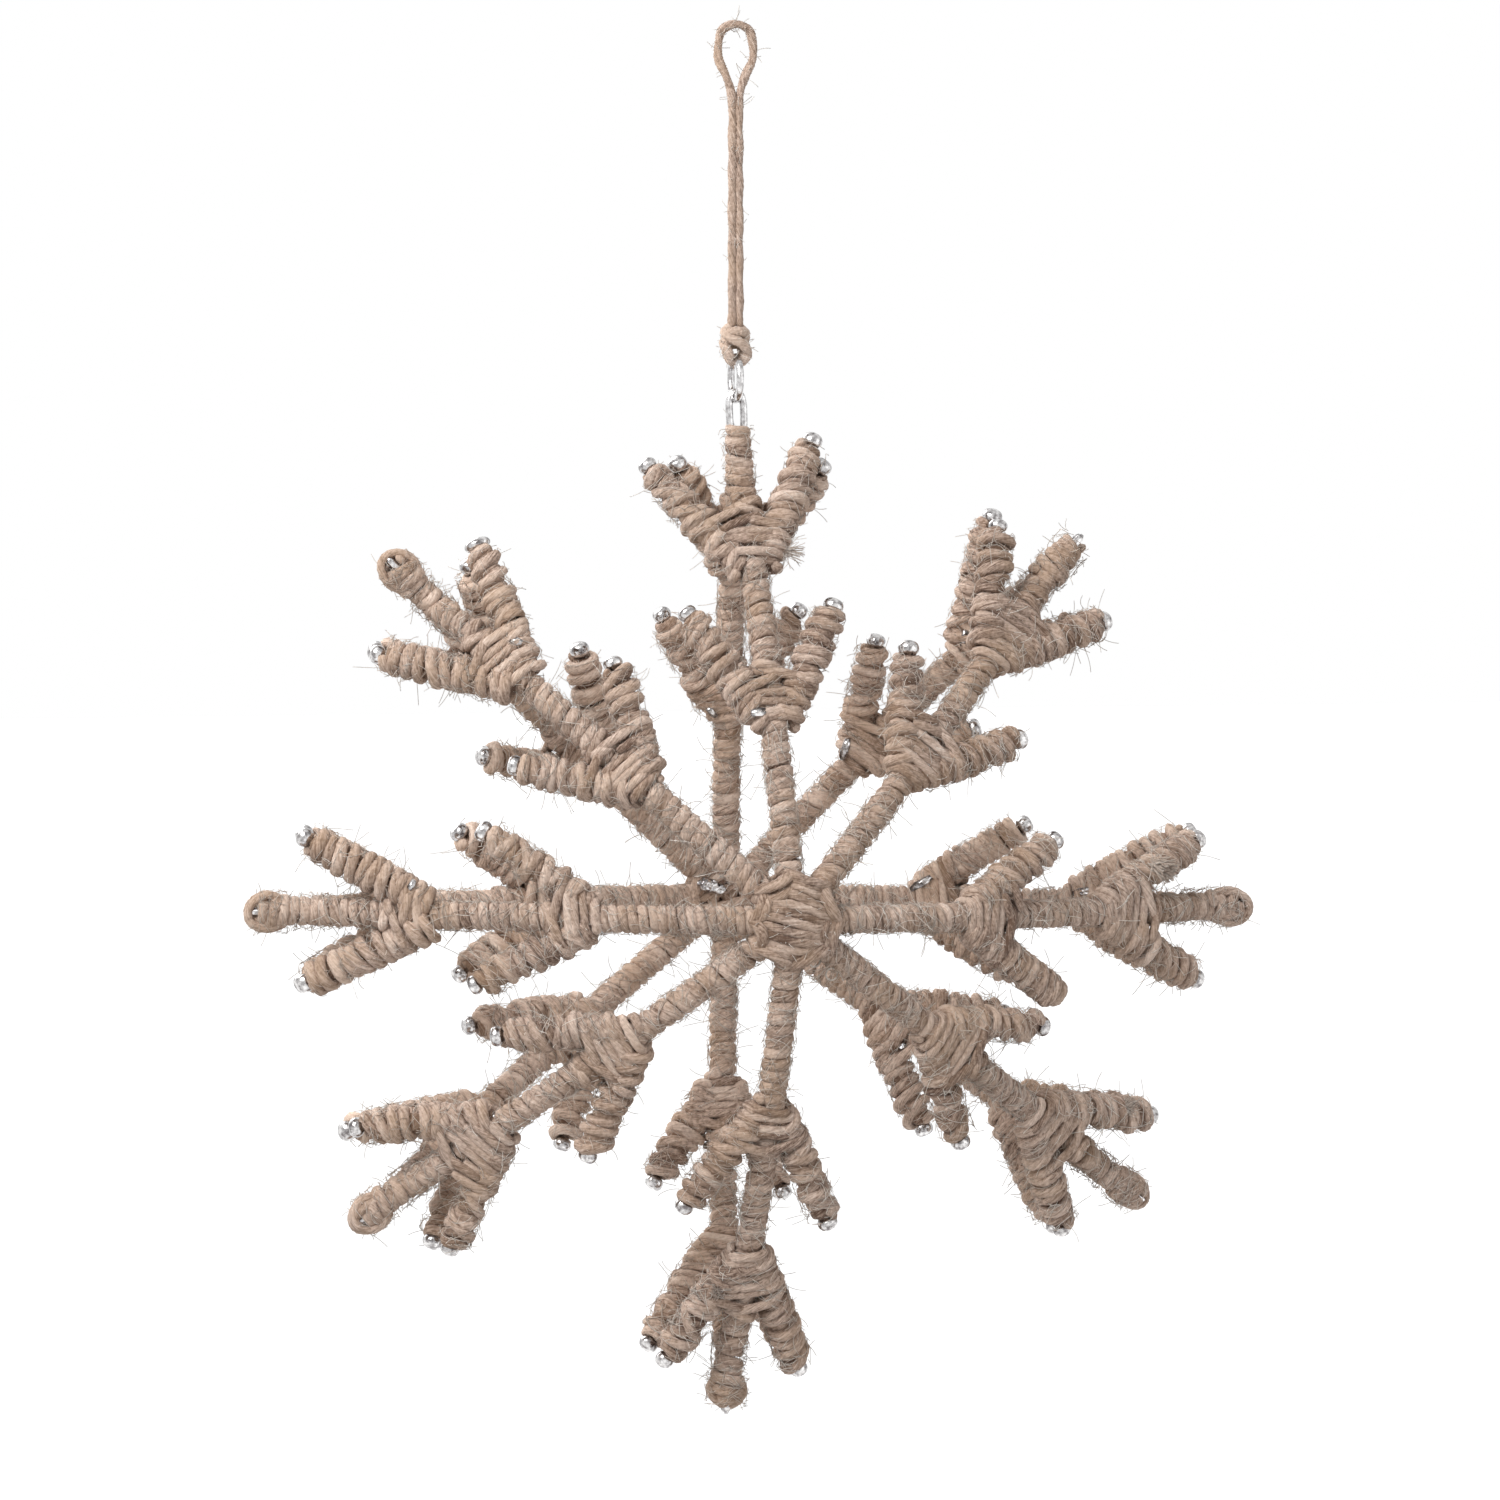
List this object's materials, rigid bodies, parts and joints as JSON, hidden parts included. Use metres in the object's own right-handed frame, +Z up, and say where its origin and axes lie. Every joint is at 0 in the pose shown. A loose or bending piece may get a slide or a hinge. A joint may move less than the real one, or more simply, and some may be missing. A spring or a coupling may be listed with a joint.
{
  "type": "hanging snowflake ornament",
  "caption": "Two-layer iron rod snowflake, wound all over with jute twine, with ball-headed branches and a twine hanger on a jump ring.",
  "frame": {"origin": "inner top of the twine hanger's loop, where a hook carries the ornament", "axes": "+Z up along the hanger, +X to the right seen from the front, front layer towards -Y"},
  "size_m": [0.2048, 0.0694, 0.2782],
  "materials": {
    "iron": "bright bare metal, lightly worn",
    "twine": "natural jute twine, matt and hairy"
  },
  "bodies": {
    "hanger": {"hanger_twine": "twine", "hanger_knot": "twine"},
    "ring": {"jump_ring": "iron"},
    "snowflake": {"hanging_eye": "iron", "front_iron_arm_n": "iron", "front_iron_arm_ne": "iron", "front_iron_arm_e": "iron", "front_iron_arm_se": "iron", "front_iron_arm_s": "iron", "front_iron_arm_sw": "iron", "front_iron_arm_w": "iron", "front_iron_arm_nw": "iron", "back_iron_arm_n": "iron", "back_iron_arm_ne": "iron", "back_iron_arm_e": "iron", "back_iron_arm_se": "iron", "back_iron_arm_s": "iron", "back_iron_arm_sw": "iron", "back_iron_arm_w": "iron", "back_iron_arm_nw": "iron", "front_iron_hub": "iron", "back_iron_hub": "iron", "front_twine_wrap_n": "twine", "front_twine_wrap_ne": "twine", "front_twine_wrap_e": "twine", "front_twine_wrap_se": "twine", "front_twine_wrap_s": "twine", "front_twine_wrap_sw": "twine", "front_twine_wrap_w": "twine", "front_twine_wrap_nw": "twine", "back_twine_wrap_n": "twine", "back_twine_wrap_ne": "twine", "back_twine_wrap_e": "twine", "back_twine_wrap_se": "twine", "back_twine_wrap_s": "twine", "back_twine_wrap_sw": "twine", "back_twine_wrap_w": "twine", "back_twine_wrap_nw": "twine", "front_hub_wrap": "twine", "back_hub_wrap": "twine", "tip_collar_n": "twine", "tip_core_ne": "twine", "tip_winding_ne": "twine", "tip_core_e": "twine", "tip_winding_e": "twine", "tip_core_se": "twine", "tip_winding_se": "twine", "tip_core_s": "twine", "tip_winding_s": "twine", "tip_core_sw": "twine", "tip_winding_sw": "twine", "tip_core_w": "twine", "tip_winding_w": "twine", "tip_core_nw": "twine", "tip_winding_nw": "twine"}
  },
  "joints": [
    {"name": "ring_swing", "type": "hinge", "parent": "hanger", "child": "ring", "pos_m": [0, 0, -0.06513], "axis": [0, 1, 0], "range_deg": [-45, 45]},
    {"name": "snowflake_swing", "type": "hinge", "parent": "ring", "child": "snowflake", "pos_m": [0, 0, -0.07213], "axis": [1, 0, 0], "range_deg": [-60, 60]}
  ]
}
